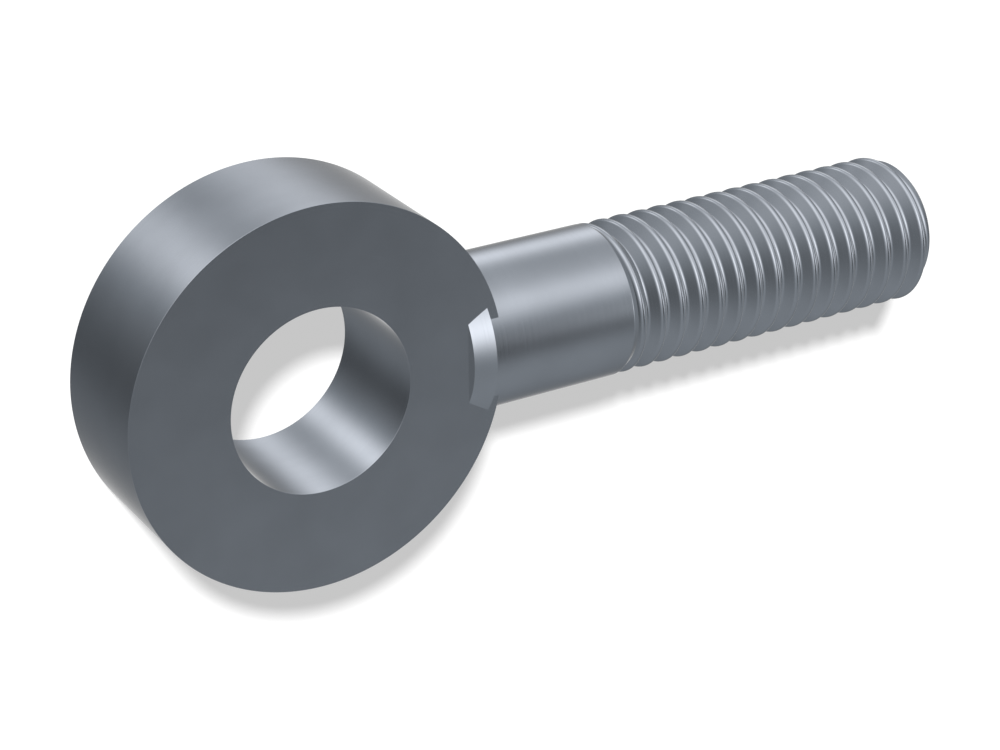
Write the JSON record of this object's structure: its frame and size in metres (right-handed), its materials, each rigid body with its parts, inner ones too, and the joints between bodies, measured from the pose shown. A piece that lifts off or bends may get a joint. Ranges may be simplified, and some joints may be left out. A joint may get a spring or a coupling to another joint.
{
  "type": "swing eye bolt",
  "caption": "Swing eye bolt: a round flat eye bored for a pivot pin, on a plain shank that ends in a coarse right-hand thread for a clamping nut.",
  "frame": {"origin": "centre of the eye's bore, at the middle of the eye's thickness", "axes": "+X along the shank to the threaded end, +Z along the bore, +Y across the eye; the bolt lies on its side with its lowest line on the shank"},
  "size_m": [0.0586, 0.025, 0.011],
  "materials": {
    "steel": "fine turned and ground, satin, uncoated"
  },
  "bodies": {
    "root": {"swing_eye_bolt": "steel"}
  },
  "joints": []
}
